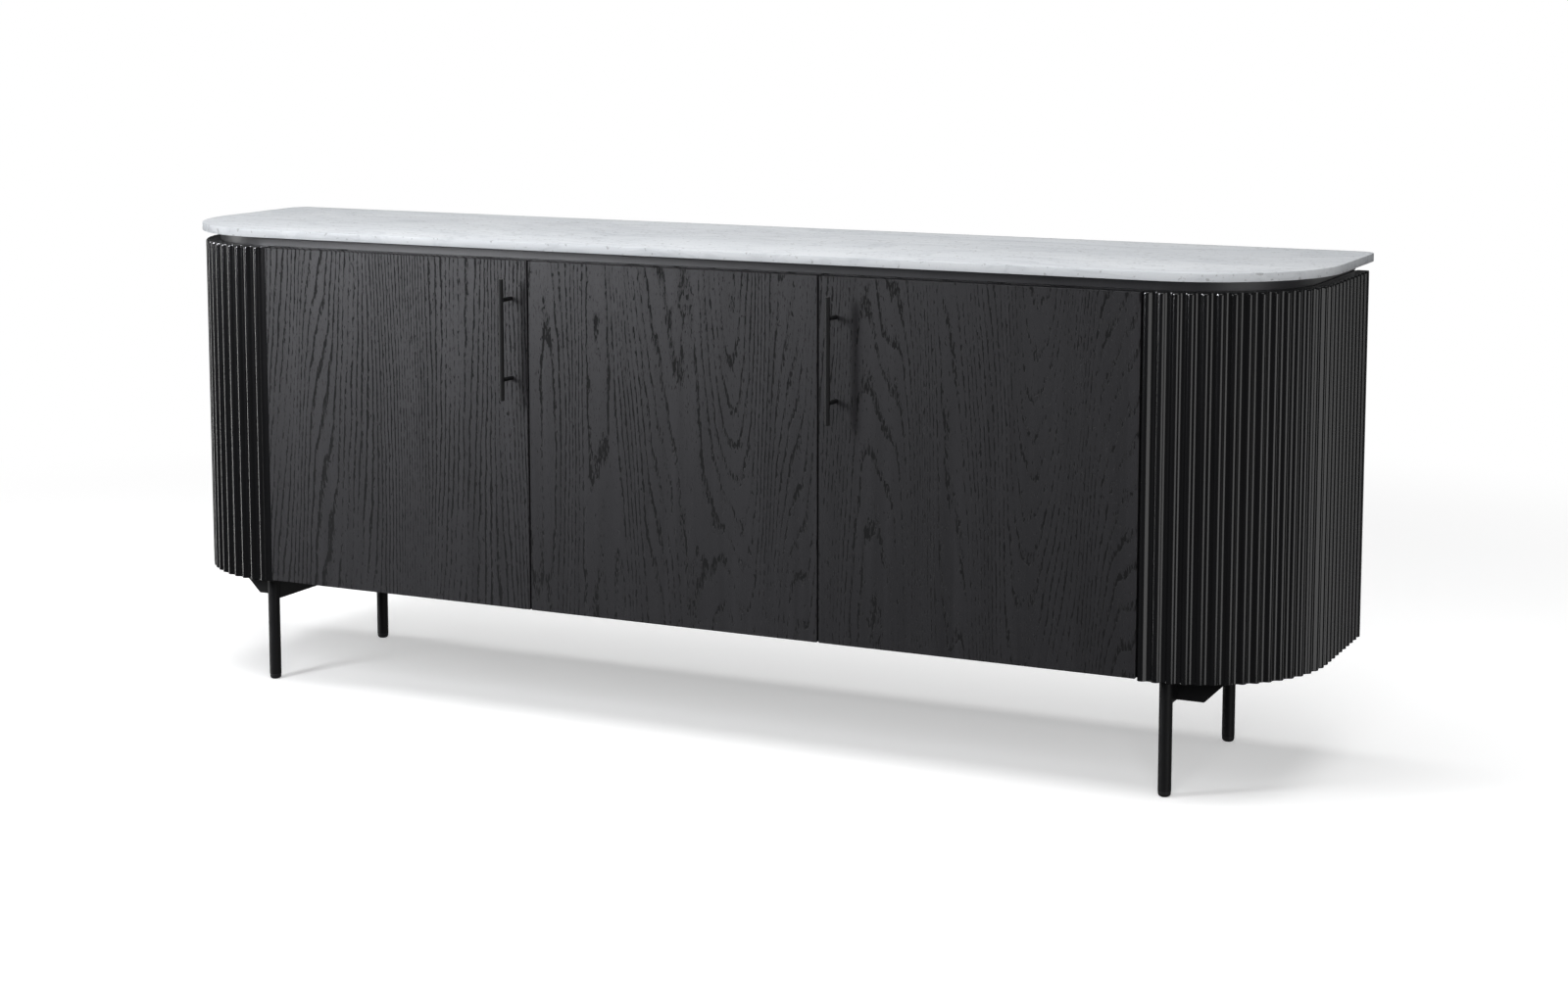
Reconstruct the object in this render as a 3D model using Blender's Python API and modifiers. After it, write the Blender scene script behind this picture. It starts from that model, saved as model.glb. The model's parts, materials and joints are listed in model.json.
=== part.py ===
"""A three-door sideboard: stone top on a recessed band, fluted round corners, steel leg frames.

Metres, +Z up. The front faces -Y and the origin is on the floor, under the centre of the
bounding box. Depths are measured back from the doors' outer face, which is the Y = 0 plane
of the "sideboard_frame" empty that carries every piece.
"""

import math
from collections import namedtuple

import bmesh
import bpy
from mathutils import Matrix, Vector

# Driving dimensions.
TOTAL_HEIGHT = 0.780
TOP_WIDTH = 2.000
BODY_DEPTH = 0.427
FIT_GAP = 0.0003

# Stone top and the recessed band under it.
TOP_THICKNESS = 0.013
TOP_SIDE_OVERHANG = 0.008
TOP_FRONT_OVERHANG = 0.004
TOP_BACK_RADIUS = 0.025
TOP_ARRIS = 0.0015
BAND_HEIGHT = 0.016
BAND_INSET = 0.025

# Body.
BODY_HALF_WIDTH = TOP_WIDTH / 2 - TOP_SIDE_OVERHANG
BODY_TOP = TOTAL_HEIGHT - TOP_THICKNESS - BAND_HEIGHT
BODY_BOTTOM = 0.181
CORNER_RADIUS = 0.213
PANEL_THICKNESS = 0.018
BACK_THICKNESS = 0.006
BACK_RECESS = 0.004
SHELL_THICKNESS = 0.022
CARCASS_FRONT = SHELL_THICKNESS + FIT_GAP
CARCASS_BACK = BODY_DEPTH - BACK_RECESS - BACK_THICKNESS - FIT_GAP
INNER_BOTTOM = BODY_BOTTOM + PANEL_THICKNESS
INNER_TOP = BODY_TOP - PANEL_THICKNESS

# Fluted corners: square-cut ribs with rounded shoulders on a bent board.
RIB_PITCH = 0.0216
RIB_WIDTH = 0.0108
RIB_HEIGHT = 0.0055
RIB_SHOULDER = 0.0026
FIRST_RIB = {"left": 0.0132, "right": 0.0}
CORNER_BOARD_START = 0.766

# Doors.
DOOR_PITCH = 0.510
DOOR_GAP = 0.003
DOOR_WIDTH = DOOR_PITCH - DOOR_GAP
DOOR_THICKNESS = 0.020
DOOR_BOTTOM = 0.184
DOOR_TOP = 0.750
DOOR_EASE = 0.0008

# Inner walls: the outer doors lap their end panels fully, the centre door laps half a partition.
FULL_OVERLAY = 0.015
OUTER_HINGE_X = 1.5 * DOOR_PITCH - DOOR_GAP / 2
CENTER_HINGE_X = 0.5 * DOOR_PITCH - DOOR_GAP / 2
END_PANEL_INNER_X = OUTER_HINGE_X - FULL_OVERLAY
PARTITION_X = 0.5 * DOOR_PITCH
HALF_OVERLAY = PANEL_THICKNESS / 2 - DOOR_GAP / 2
SHELF_THICKNESS = 0.018
SHELF_FRONT = 0.045
SHELF_CENTER_Z = 0.462
SHELF_SIDE_PLAY = 0.0015

# Concealed hinges, 35 mm cups.
HINGE_INSET_Z = 0.100
CUP_EDGE_DISTANCE = 0.0225
CUP_RADIUS = 0.0173
CUP_WALL = 0.0012
CUP_DEPTH = 0.0112
CUP_FLANGE_RADIUS = 0.0195
CUP_FLANGE_THICKNESS = 0.0008
POCKET_DEPTH = 0.0118
POCKET_PLAY = 0.0004
ARM_HEIGHT = 0.014
ARM_THICKNESS = 0.0095
ARM_BACK = 0.084
ARM_BEND_OUTER = 0.034  # where the arm's straight shank ends, on the panel's side
ARM_BEND_INNER = 0.044  # and on the other side
# The arm's nose in plan: distance from the door's hinge edge, and depth behind the doors' face.
# It stays inside the cup, clear of the cup while the door turns about the hinge edge.
ARM_NOSE = [
    (0.0195, 0.0280),
    (0.0195, 0.0140),
    (0.0225, 0.0115),
    (0.0300, 0.0115),
    (0.0330, 0.0140),
    (0.0330, 0.0240),
    (0.0285, 0.0340),
]
PLATE_THICKNESS = 0.0020
PLATE_HEIGHT = 0.046
PLATE_FRONT = 0.040
PLATE_BACK = 0.078

# Bar handles.
BAR_RADIUS = 0.004
BAR_LENGTH = 0.195
BAR_STAND_OFF = 0.031
BAR_EDGE_DISTANCE = 0.0285
BAR_CENTER_Z = 0.625
POST_RADIUS = 0.0034
POST_SPACING = 0.128

# Push-to-open latch behind the free edge of the centre door.
LATCH_EDGE_DISTANCE = 0.030
LATCH_FRONT = 0.030
LATCH_LENGTH = 0.060
LATCH_WIDTH = 0.018
LATCH_HEIGHT = 0.014
PLUNGER_RADIUS = 0.0035
PLUNGER_PLAY = 0.0004
PLUNGER_BACK = 0.075
LATCH_BORE_BACK = 0.082
STRIKE_SIZE = 0.018
STRIKE_THICKNESS = 0.001

# Leg frames.
LEG_X = 0.796
LEG_RADIUS = 0.010
FRONT_LEG_Y = 0.048
REAR_LEG_Y = 0.375
GLIDE_HEIGHT = 0.0085
GLIDE_RADIUS = 0.0097
GLIDE_FLAT_RADIUS = 0.0045
FLANGE_THICKNESS = 0.0027
FLANGE_TOP = BODY_BOTTOM - FIT_GAP
FRAME_TOP = FLANGE_TOP - FLANGE_THICKNESS - FIT_GAP
RAIL_THICKNESS = 0.016
RAIL_BOTTOM = 0.140
BRACKET_OFFSET_Y = 0.030
BRACKET_THICKNESS = 0.005
BRACKET_FOOT = 0.0495
FLANGE_HALF_WIDTH = 0.012
FLANGE_TAB_REACH = 0.088

# Where the doors' outer face lies in the part's frame: the handles reach furthest forward.
HANDLE_REACH = BAR_STAND_OFF + BAR_RADIUS
FACE_Y = (HANDLE_REACH - BODY_DEPTH) / 2

ROUND_STEPS = 24
ARC_STEPS = 24

Door = namedtuple("Door", "name hinge_x direction overlay has_handle")
DOORS = (
    Door("left", -OUTER_HINGE_X, 1, FULL_OVERLAY, True),
    Door("center", CENTER_HINGE_X, -1, HALF_OVERLAY, False),
    Door("right", OUTER_HINGE_X, -1, FULL_OVERLAY, True),
)
SIDES = (("left", -1), ("right", 1))
LEVELS = (
    ("lower", DOOR_BOTTOM + HINGE_INSET_Z),
    ("upper", DOOR_TOP - HINGE_INSET_Z),
)


def clear_scene():
    for obj in list(bpy.data.objects):
        bpy.data.objects.remove(obj, do_unlink=True)


def new_collection(name):
    collection = bpy.data.collections.new(name)
    bpy.context.scene.collection.children.link(collection)
    return collection


clear_scene()
PARTS = new_collection("sideboard")
CUTTERS = new_collection("cutters")


def material(name, color, roughness, metallic=0.0):
    made = bpy.data.materials.new(name)
    made.use_nodes = True
    shader = made.node_tree.nodes["Principled BSDF"]
    shader.inputs["Base Color"].default_value = (*color, 1.0)
    shader.inputs["Roughness"].default_value = roughness
    shader.inputs["Metallic"].default_value = metallic
    return made


MARBLE = material("white_marble", (0.66, 0.67, 0.68), 0.25)
OAK = material("black_stained_oak", (0.035, 0.035, 0.037), 0.5)
LACQUER = material("satin_black_lacquer", (0.030, 0.030, 0.033), 0.4)
STEEL = material("black_powder_coat", (0.015, 0.015, 0.016), 0.45, 0.2)
NICKEL = material("nickel_plated_steel", (0.62, 0.61, 0.59), 0.3, 1.0)
PLASTIC = material("black_plastic", (0.02, 0.02, 0.02), 0.5)


def empty(name, location, parent=None):
    made = bpy.data.objects.new(name, None)
    made.location = location
    made.parent = parent
    PARTS.objects.link(made)
    return made


ROOT = empty("sideboard_frame", (0.0, FACE_Y, 0.0))


def add_object(name, data, finish, parent, location=(0, 0, 0)):
    made = bpy.data.objects.new(name, data)
    made.location = location
    made.parent = parent
    data.materials.append(finish)
    PARTS.objects.link(made)
    return made


def box_mesh(name, size):
    mesh = bpy.data.meshes.new(name)
    cage = bmesh.new()
    bmesh.ops.create_cube(cage, size=1.0, matrix=Matrix.Diagonal((*size, 1.0)))
    cage.to_mesh(mesh)
    cage.free()
    return mesh


def box(name, low, high, finish, parent=ROOT, ease=0.0):
    """A box between two opposite corners, given in any order."""
    low, high = Vector(low), Vector(high)
    size = [abs(span) for span in high - low]
    made = add_object(name, box_mesh(name, size), finish, parent, (low + high) / 2)
    if ease:
        soften(made, ease)
    return made


def soften(obj, width, segments=1):
    bevel = obj.modifiers.new("eased_edges", "BEVEL")
    bevel.width = width
    bevel.segments = segments
    bevel.limit_method = "ANGLE"
    bevel.angle_limit = math.radians(40)


def rod_mesh(name, radius, length):
    mesh = bpy.data.meshes.new(name)
    cage = bmesh.new()
    bmesh.ops.create_cone(
        cage, cap_ends=True, segments=ROUND_STEPS, radius1=radius, radius2=radius, depth=length
    )
    cage.to_mesh(mesh)
    cage.free()
    mesh.shade_smooth()
    mesh.set_sharp_from_angle(angle=math.radians(40))
    return mesh


def rod(name, radius, start, end, finish, parent=ROOT):
    """A round bar from one point to another."""
    start, end = Vector(start), Vector(end)
    made = add_object(
        name, rod_mesh(name, radius, (end - start).length), finish, parent, (start + end) / 2
    )
    made.rotation_euler = (end - start).to_track_quat("Z", "Y").to_euler()
    return made


def cut(obj, cutter):
    """Subtracts the cutter from obj, and keeps it as a wire helper."""
    if cutter.name not in CUTTERS.objects:
        PARTS.objects.unlink(cutter)
        CUTTERS.objects.link(cutter)
        cutter.hide_render = True
        cutter.display_type = "WIRE"
    boolean = obj.modifiers.new("cut_" + cutter.name, "BOOLEAN")
    boolean.operation = "DIFFERENCE"
    boolean.object = cutter


def flat_shape(name, points, thickness, finish, location, rotation=(0, 0, 0), parent=ROOT):
    """A closed outline in its own XY plane, as thick as stated, centred on its location."""
    curve = bpy.data.curves.new(name, "CURVE")
    curve.dimensions = "2D"
    curve.fill_mode = "BOTH"
    curve.extrude = thickness / 2
    spline = curve.splines.new("POLY")
    spline.points.add(len(points) - 1)
    for point, (x, y) in zip(spline.points, points):
        point.co = (x, y, 0.0, 1.0)
    spline.use_cyclic_u = True
    made = add_object(name, curve, finish, parent, location)
    made.rotation_euler = rotation
    weld = made.modifiers.new("weld_caps", "WELD")
    weld.merge_threshold = 0.00001
    return made


def turned(name, profile, finish, location, rotation=(0, 0, 0), parent=ROOT):
    """A solid of revolution about its own Z, from (radius, height) points, outer side downwards."""
    mesh = bpy.data.meshes.new(name)
    edges = [(i, i + 1) for i in range(len(profile) - 1)]
    mesh.from_pydata([(radius, 0.0, height) for radius, height in profile], edges, [])
    made = add_object(name, mesh, finish, parent, location)
    made.rotation_euler = rotation
    screw = made.modifiers.new("turn", "SCREW")
    screw.axis = "Z"
    screw.steps = ROUND_STEPS
    screw.render_steps = ROUND_STEPS
    screw.use_merge_vertices = True
    screw.merge_threshold = 0.00001
    return made


def arc(center, radius, start_degrees, end_degrees, steps):
    """Points on an arc, both ends included. Degrees run anticlockwise from +X."""
    points = []
    for step in range(steps + 1):
        angle = math.radians(start_degrees + (end_degrees - start_degrees) * step / steps)
        points.append(
            (center[0] + radius * math.cos(angle), center[1] + radius * math.sin(angle))
        )
    return points


def rounded_plan(half_width, front, back, front_radius, back_radius=0.0):
    """The plan of the body or the top: large round front corners, small or square back ones."""
    right = arc(
        (half_width - front_radius, front + front_radius), front_radius, -90, 0, ARC_STEPS
    )
    if back_radius:
        right += arc((half_width - back_radius, back - back_radius), back_radius, 0, 90, 6)
    else:
        right.append((half_width, back))
    return right + [(-x, y) for x, y in reversed(right)]


def slab(name, plan, bottom, top, finish):
    return flat_shape(name, plan, top - bottom, finish, (0, 0, (bottom + top) / 2))


def make_top():
    overhang_plan = rounded_plan(
        TOP_WIDTH / 2,
        -TOP_FRONT_OVERHANG,
        BODY_DEPTH,
        CORNER_RADIUS + TOP_SIDE_OVERHANG,
        TOP_BACK_RADIUS,
    )
    top_underside = TOTAL_HEIGHT - TOP_THICKNESS + FIT_GAP
    top = slab("marble_top", overhang_plan, top_underside, TOTAL_HEIGHT, MARBLE)
    soften(top, TOP_ARRIS, segments=2)
    band_plan = rounded_plan(
        BODY_HALF_WIDTH - BAND_INSET, BAND_INSET, BODY_DEPTH - FIT_GAP, CORNER_RADIUS - BAND_INSET
    )
    slab("top_spacer", band_plan, BODY_TOP + FIT_GAP, TOTAL_HEIGHT - TOP_THICKNESS, LACQUER)


def make_carcass():
    plan = rounded_plan(
        BODY_HALF_WIDTH - CARCASS_FRONT,
        CARCASS_FRONT,
        CARCASS_BACK,
        CORNER_RADIUS - CARCASS_FRONT,
    )
    slab("carcass_top", plan, INNER_TOP, BODY_TOP, OAK)
    slab("carcass_bottom", plan, BODY_BOTTOM, INNER_BOTTOM, OAK)
    low_z, high_z = INNER_BOTTOM + FIT_GAP, INNER_TOP - FIT_GAP
    for side, sign in SIDES:
        for name, inner_x in (
            ("end_panel", END_PANEL_INNER_X),
            ("partition", PARTITION_X - PANEL_THICKNESS / 2),
        ):
            box(
                f"{name}_{side}",
                (sign * inner_x, CARCASS_FRONT, low_z),
                (sign * (inner_x + PANEL_THICKNESS), CARCASS_BACK, high_z),
                OAK,
            )
    back_half_width = BODY_HALF_WIDTH - CARCASS_FRONT
    back_y = BODY_DEPTH - BACK_RECESS
    box(
        "back_panel",
        (-back_half_width, back_y - BACK_THICKNESS, BODY_BOTTOM + FIT_GAP),
        (back_half_width, back_y, BODY_TOP - FIT_GAP),
        OAK,
    )


def make_shelves():
    half_bay = PARTITION_X - PANEL_THICKNESS / 2 - SHELF_SIDE_PLAY
    near_x = PARTITION_X + PANEL_THICKNESS / 2 + SHELF_SIDE_PLAY
    far_x = END_PANEL_INNER_X - SHELF_SIDE_PLAY
    bays = (("left", -far_x, -near_x), ("center", -half_bay, half_bay), ("right", near_x, far_x))
    for name, low_x, high_x in bays:
        box(
            f"shelf_{name}",
            (low_x, SHELF_FRONT, SHELF_CENTER_Z - SHELF_THICKNESS / 2),
            (high_x, CARCASS_BACK - SHELF_SIDE_PLAY, SHELF_CENTER_Z + SHELF_THICKNESS / 2),
            OAK,
            ease=DOOR_EASE,
        )


def corner_path(distance, depth):
    """The point this far along the right corner's outer face, and this deep behind it."""
    straight = BODY_HALF_WIDTH - CORNER_RADIUS - CORNER_BOARD_START
    arc_length = CORNER_RADIUS * math.pi / 2
    if distance <= straight:
        return (CORNER_BOARD_START + distance, depth)
    if distance <= straight + arc_length:
        turn = (distance - straight) / CORNER_RADIUS
        radius = CORNER_RADIUS - depth
        center_x = BODY_HALF_WIDTH - CORNER_RADIUS
        return (center_x + radius * math.sin(turn), CORNER_RADIUS - radius * math.cos(turn))
    return (BODY_HALF_WIDTH - depth, CORNER_RADIUS + distance - straight - arc_length)


def corner_length():
    straight = BODY_HALF_WIDTH - CORNER_RADIUS - CORNER_BOARD_START
    return straight + CORNER_RADIUS * math.pi / 2 + BODY_DEPTH - CORNER_RADIUS


def rib_profile(first_rib, length):
    """(distance, depth) points of the fluted face; a rib that meets the back edge is cut there."""
    flank = RIB_HEIGHT - RIB_SHOULDER
    half = [(0.0, 0.0), (0.0, flank)]
    half += [
        (RIB_SHOULDER + x, flank + y) for x, y in arc((0, 0), RIB_SHOULDER, 180, 90, 4)[1:]
    ]
    rib = half + [(RIB_WIDTH - x, y) for x, y in reversed(half)]
    face = []
    start = first_rib
    while start < length:
        face += [(start + x, RIB_HEIGHT - y) for x, y in rib if start + x < length]
        start += RIB_PITCH
    if first_rib > 0:
        face.insert(0, (0.0, RIB_HEIGHT))
    face.append((length, face[-1][1]))
    return face


def make_fluted_corner(side, sign):
    """A bent board whose outer face is ribbed, from beside the door round to the back."""
    length = corner_length()
    outer = [corner_path(*point) for point in rib_profile(FIRST_RIB[side], length)]
    inner = [
        corner_path(length * step / (2 * ARC_STEPS), SHELL_THICKNESS)
        for step in range(2 * ARC_STEPS, -1, -1)
    ]
    plan = [(sign * x, y) for x, y in outer + inner]
    slab(f"fluted_corner_{side}", plan, BODY_BOTTOM, BODY_TOP, LACQUER)


def make_leg_frame(side, sign):
    x = sign * LEG_X
    middle_y = (FRONT_LEG_Y + REAR_LEG_Y) / 2
    rail = box(
        f"leg_rail_{side}",
        (x - RAIL_THICKNESS / 2, FRONT_LEG_Y, RAIL_BOTTOM),
        (x + RAIL_THICKNESS / 2, REAR_LEG_Y, FRAME_TOP),
        STEEL,
    )
    for end, leg_y in (("front", FRONT_LEG_Y), ("rear", REAR_LEG_Y)):
        inward = 1 if leg_y < middle_y else -1
        rod(
            f"leg_{end}_{side}",
            LEG_RADIUS,
            (x, leg_y, GLIDE_HEIGHT + FIT_GAP),
            (x, leg_y, FRAME_TOP),
            STEEL,
        )
        saddle = rod(
            f"saddle_{end}_{side}",
            LEG_RADIUS + FIT_GAP,
            (x, leg_y, RAIL_BOTTOM - LEG_RADIUS),
            (x, leg_y, FRAME_TOP + LEG_RADIUS),
            STEEL,
        )
        cut(rail, saddle)
        make_glide(f"foot_glide_{end}_{side}", x, leg_y)
        make_bracket(f"leg_bracket_{end}_{side}", sign, leg_y + inward * BRACKET_OFFSET_Y)
    make_flange(f"leg_flange_{side}", sign)


def make_glide(name, x, y):
    """A moulded foot: flat where it stands, rounded up to the leg's diameter."""
    rounding = GLIDE_RADIUS - GLIDE_FLAT_RADIUS
    profile = [(0.0, GLIDE_HEIGHT), (GLIDE_RADIUS, GLIDE_HEIGHT)]
    profile += arc((GLIDE_FLAT_RADIUS, rounding), rounding, 0, -90, 5)
    profile.append((0.0, 0.0))
    turned(name, profile, PLASTIC, (x, y, 0.0))


def make_bracket(name, sign, y):
    """An upright plate from the rail outwards, with its lower corner cut off at 45 degrees."""
    near = RAIL_THICKNESS / 2 + FIT_GAP
    height = FRAME_TOP - RAIL_BOTTOM
    outline = [
        (near, 0.0),
        (BRACKET_FOOT, 0.0),
        (BRACKET_FOOT + height, height),
        (near, height),
    ]
    plate = [(sign * x, z) for x, z in outline]
    flat_shape(
        name, plate, BRACKET_THICKNESS, STEEL, (sign * LEG_X, y, RAIL_BOTTOM), (math.pi / 2, 0, 0)
    )


def make_flange(name, sign):
    """The fixing plate between frame and body: a strip over the rail with a tab over each bracket."""
    outline = [(-FLANGE_HALF_WIDTH, FRONT_LEG_Y - FLANGE_HALF_WIDTH)]
    outline.append((FLANGE_HALF_WIDTH, FRONT_LEG_Y - FLANGE_HALF_WIDTH))
    for bracket_y in (FRONT_LEG_Y + BRACKET_OFFSET_Y, REAR_LEG_Y - BRACKET_OFFSET_Y):
        front_y = bracket_y - FLANGE_HALF_WIDTH
        back_y = bracket_y + FLANGE_HALF_WIDTH
        outline.append((FLANGE_HALF_WIDTH, front_y))
        outline.append((FLANGE_TAB_REACH, front_y))
        outline.append((FLANGE_TAB_REACH, back_y))
        outline.append((FLANGE_HALF_WIDTH, back_y))
    outline.append((FLANGE_HALF_WIDTH, REAR_LEG_Y + FLANGE_HALF_WIDTH))
    outline.append((-FLANGE_HALF_WIDTH, REAR_LEG_Y + FLANGE_HALF_WIDTH))
    plan = [(sign * (LEG_X + x), y) for x, y in outline]
    slab(name, plan, FLANGE_TOP - FLANGE_THICKNESS, FLANGE_TOP, STEEL)


def make_door(door):
    """A door with its cups and handle, on an empty at its hinge line."""
    axis = empty(f"door_{door.name}_axis", (door.hinge_x, 0, 0), ROOT)
    slab_piece = box(
        f"door_{door.name}",
        (0, 0, DOOR_BOTTOM),
        (door.direction * DOOR_WIDTH, DOOR_THICKNESS, DOOR_TOP),
        OAK,
        axis,
        ease=DOOR_EASE,
    )
    cup_x = door.direction * CUP_EDGE_DISTANCE
    for level, z in LEVELS:
        pocket = rod(
            f"pocket_{door.name}_{level}",
            CUP_RADIUS + POCKET_PLAY,
            (cup_x, DOOR_THICKNESS - POCKET_DEPTH, z),
            (cup_x, DOOR_THICKNESS + POCKET_DEPTH, z),
            OAK,
            axis,
        )
        cut(slab_piece, pocket)
        make_cup(f"hinge_cup_{door.name}_{level}", cup_x, z, axis)
    if door.has_handle:
        make_handle(door, axis)
    return axis


def make_cup(name, x, z, axis):
    """The hinge's cup, open towards the cabinet, with a flange on the door's back."""
    rim = CUP_DEPTH + CUP_FLANGE_THICKNESS
    profile = [
        (0.0, CUP_WALL),
        (CUP_RADIUS - CUP_WALL, CUP_WALL),
        (CUP_RADIUS - CUP_WALL, rim),
        (CUP_FLANGE_RADIUS, rim),
        (CUP_FLANGE_RADIUS, CUP_DEPTH),
        (CUP_RADIUS, CUP_DEPTH),
        (CUP_RADIUS, 0.0),
        (0.0, 0.0),
    ]
    floor_y = DOOR_THICKNESS + FIT_GAP - CUP_DEPTH
    turned(name, profile, NICKEL, (x, floor_y, z), (-math.pi / 2, 0, 0), axis)


def make_handle(door, axis):
    x = door.direction * (DOOR_WIDTH - BAR_EDGE_DISTANCE)
    bar = rod(
        f"handle_bar_{door.name}",
        BAR_RADIUS,
        (x, -BAR_STAND_OFF, BAR_CENTER_Z - BAR_LENGTH / 2),
        (x, -BAR_STAND_OFF, BAR_CENTER_Z + BAR_LENGTH / 2),
        STEEL,
        axis,
    )
    soften(bar, DOOR_EASE)
    for level, offset in (("lower", -POST_SPACING / 2), ("upper", POST_SPACING / 2)):
        z = BAR_CENTER_Z + offset
        rod(
            f"handle_post_{door.name}_{level}",
            POST_RADIUS,
            (x, -FIT_GAP, z),
            (x, -BAR_STAND_OFF + BAR_RADIUS + FIT_GAP, z),
            STEEL,
            axis,
        )


def make_hinge_arms(door):
    """Each hinge's fixed half: a mounting plate on the panel, and an arm reaching into the cup."""
    plate_x = door.overlay + FIT_GAP
    arm_x = plate_x + PLATE_THICKNESS + FIT_GAP
    outline = [
        (arm_x, ARM_BACK),
        (arm_x, ARM_BEND_OUTER),
        *ARM_NOSE,
        (arm_x + ARM_THICKNESS, ARM_BEND_INNER),
        (arm_x + ARM_THICKNESS, ARM_BACK),
    ]
    plan = [(door.direction * x, y) for x, y in outline]
    for level, z in LEVELS:
        flat_shape(
            f"hinge_arm_{door.name}_{level}", plan, ARM_HEIGHT, NICKEL, (door.hinge_x, 0, z)
        )
        box(
            f"hinge_plate_{door.name}_{level}",
            (door.hinge_x + door.direction * plate_x, PLATE_FRONT, z - PLATE_HEIGHT / 2),
            (
                door.hinge_x + door.direction * (plate_x + PLATE_THICKNESS),
                PLATE_BACK,
                z + PLATE_HEIGHT / 2,
            ),
            NICKEL,
        )


def make_latch(door_axis):
    """The push latch under the carcass top, its sliding plunger, and the strike on the door."""
    x = CENTER_HINGE_X - DOOR_WIDTH + LATCH_EDGE_DISTANCE
    body_top = INNER_TOP - FIT_GAP
    z = body_top - LATCH_HEIGHT / 2
    housing = box(
        "push_latch_body",
        (x - LATCH_WIDTH / 2, LATCH_FRONT, body_top - LATCH_HEIGHT),
        (x + LATCH_WIDTH / 2, LATCH_FRONT + LATCH_LENGTH, body_top),
        PLASTIC,
    )
    bore = rod(
        "latch_bore",
        PLUNGER_RADIUS + PLUNGER_PLAY,
        (x, LATCH_FRONT - POCKET_DEPTH, z),
        (x, LATCH_BORE_BACK, z),
        PLASTIC,
    )
    cut(housing, bore)
    strike_back = DOOR_THICKNESS + FIT_GAP + STRIKE_THICKNESS
    slide = empty("push_latch_axis", (x, strike_back + FIT_GAP, z), ROOT)
    plunger_length = PLUNGER_BACK - strike_back - FIT_GAP
    rod(
        "push_latch_plunger",
        PLUNGER_RADIUS,
        (0, 0, 0),
        (0, plunger_length, 0),
        PLASTIC,
        slide,
    )
    strike_x = x - CENTER_HINGE_X
    box(
        "push_latch_strike",
        (strike_x - STRIKE_SIZE / 2, DOOR_THICKNESS + FIT_GAP, z - STRIKE_SIZE / 2),
        (strike_x + STRIKE_SIZE / 2, strike_back, z + STRIKE_SIZE / 2),
        NICKEL,
        door_axis,
    )


def build():
    make_top()
    make_carcass()
    make_shelves()
    for side, sign in SIDES:
        make_fluted_corner(side, sign)
        make_leg_frame(side, sign)
    for door in DOORS:
        axis = make_door(door)
        make_hinge_arms(door)
        if door.name == "center":
            make_latch(axis)


build()
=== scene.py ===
"""Looks of a three-door sideboard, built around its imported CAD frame.

Metres, +Z up, doors towards -Y. The CAD nodes keep their shapes and get detailed materials here.
The fluted corners are rebuilt as an even wave of ribs and grooves, and the small fittings that
the CAD leaves out are added.
"""

import json
import math

import bmesh
import bpy
from mathutils import Matrix, Vector


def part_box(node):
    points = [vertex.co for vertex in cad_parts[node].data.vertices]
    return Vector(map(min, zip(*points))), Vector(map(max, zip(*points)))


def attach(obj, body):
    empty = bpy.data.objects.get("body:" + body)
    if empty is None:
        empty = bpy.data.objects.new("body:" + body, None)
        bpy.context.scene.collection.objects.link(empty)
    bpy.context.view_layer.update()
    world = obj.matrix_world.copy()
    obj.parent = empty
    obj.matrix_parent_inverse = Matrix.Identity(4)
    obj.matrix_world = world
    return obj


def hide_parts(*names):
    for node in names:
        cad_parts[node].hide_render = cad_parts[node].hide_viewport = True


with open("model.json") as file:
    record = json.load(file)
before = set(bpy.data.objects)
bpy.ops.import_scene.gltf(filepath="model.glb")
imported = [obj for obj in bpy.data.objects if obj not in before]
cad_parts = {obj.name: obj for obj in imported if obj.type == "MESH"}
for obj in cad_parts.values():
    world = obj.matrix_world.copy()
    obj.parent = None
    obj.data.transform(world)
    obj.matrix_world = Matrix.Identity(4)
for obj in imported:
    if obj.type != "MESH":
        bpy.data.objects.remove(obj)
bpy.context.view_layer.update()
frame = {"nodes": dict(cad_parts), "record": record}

NODES = frame["nodes"]
DOORS = ("left", "center", "right")
LEVELS = ("lower", "upper")
SIDES = (("left", -1), ("right", 1))

# ---------------------------------------------------------------- camera

CAMERA_PLACE = (1.9746, -3.8945, 1.1838)
CAMERA_TURN = 25.654
CAMERA_DIP = 6.918
CAMERA_LENS = 62.44
CAMERA_SENSOR = 36.0
CAMERA_SHIFT_Y = -0.12
CAMERA_REACH = 100.0


def make_camera():
    data = bpy.data.cameras.new("camera")
    data.sensor_width = CAMERA_SENSOR
    data.lens = CAMERA_LENS
    data.shift_y = CAMERA_SHIFT_Y
    data.clip_end = CAMERA_REACH
    camera = bpy.data.objects.new("camera", data)
    camera.location = CAMERA_PLACE
    camera.rotation_euler = (math.radians(90 - CAMERA_DIP), 0.0, math.radians(CAMERA_TURN))
    bpy.context.scene.collection.objects.link(camera)
    bpy.context.scene.camera = camera


# ---------------------------------------------------------------- materials

WHITE = (1.0, 1.0, 1.0)
BLACK = (0.0, 0.0, 0.0)
NOISE_LOW = 0.3
NOISE_HIGH = 0.7


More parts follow.
